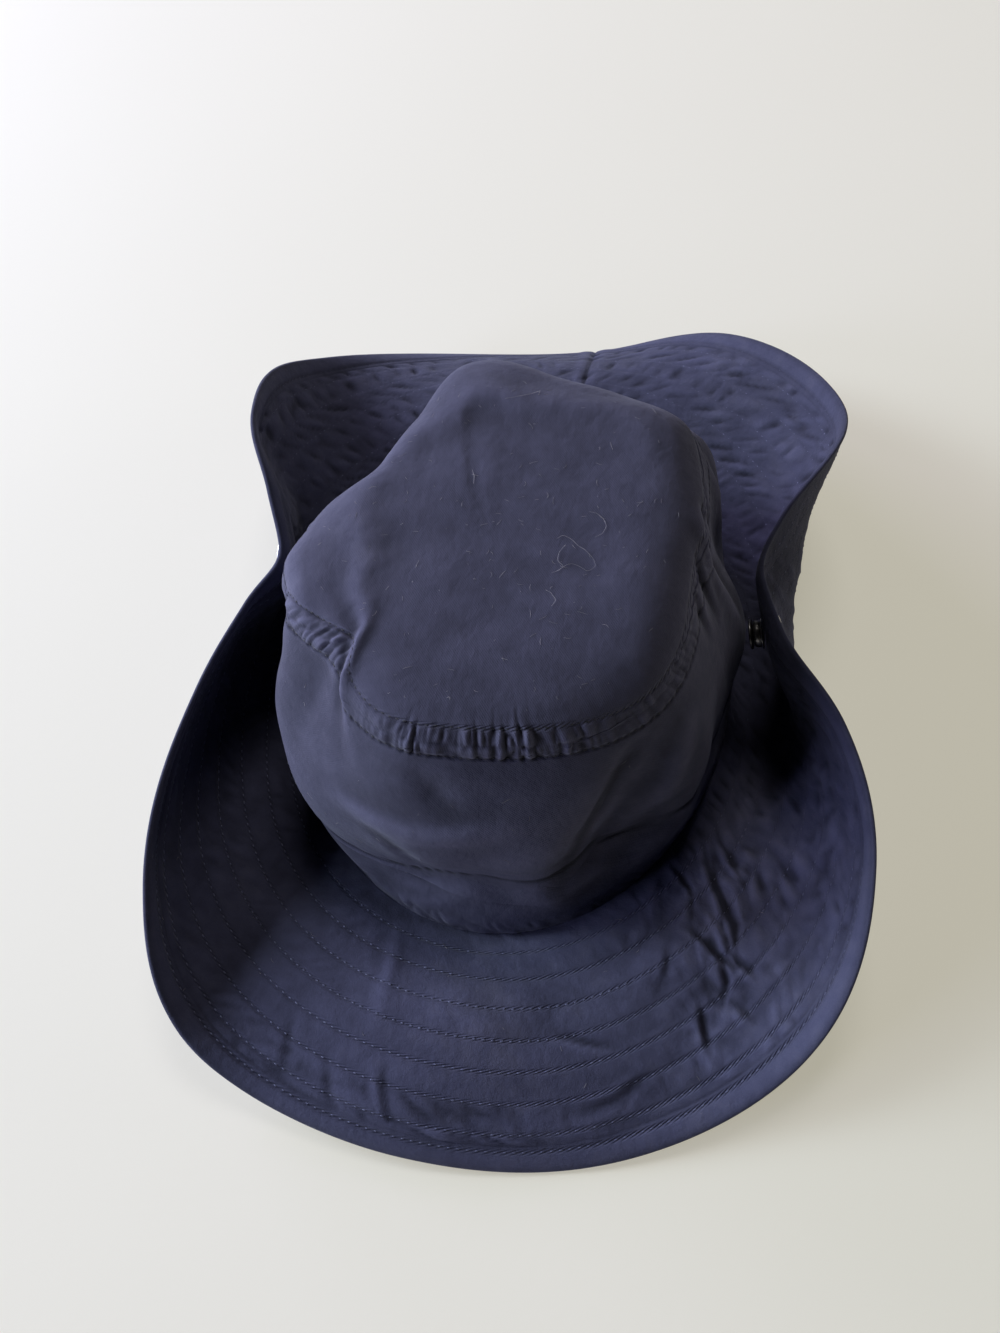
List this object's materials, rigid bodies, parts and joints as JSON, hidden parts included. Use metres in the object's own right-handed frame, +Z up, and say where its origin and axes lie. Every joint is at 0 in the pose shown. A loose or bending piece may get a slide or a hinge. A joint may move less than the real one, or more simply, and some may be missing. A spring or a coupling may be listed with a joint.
{
  "type": "sun hat",
  "caption": "Soft cloth sun hat with a flat-topped crown and a wide stitched brim whose sides are held up against the crown by press studs.",
  "frame": {"origin": "on the ground below the middle of the hat's outline, as it rests on its brim", "axes": "+Z up, +Y to the back of the hat, +X to the wearer's left"},
  "size_m": [0.2552, 0.3534, 0.107],
  "materials": {
    "crown_cloth": "soft brushed navy cotton twill",
    "brim_cloth": "navy cotton twill, quilted with rows of stitching",
    "stud_metal": "dull antique nickel"
  },
  "bodies": {
    "root": {"crown_tip": "crown_cloth", "crown_side": "crown_cloth", "base_band": "crown_cloth", "brim": "brim_cloth", "left_stud": "stud_metal", "left_socket": "stud_metal", "left_cap": "stud_metal", "right_stud": "stud_metal", "right_socket": "stud_metal", "right_cap": "stud_metal"}
  },
  "joints": []
}
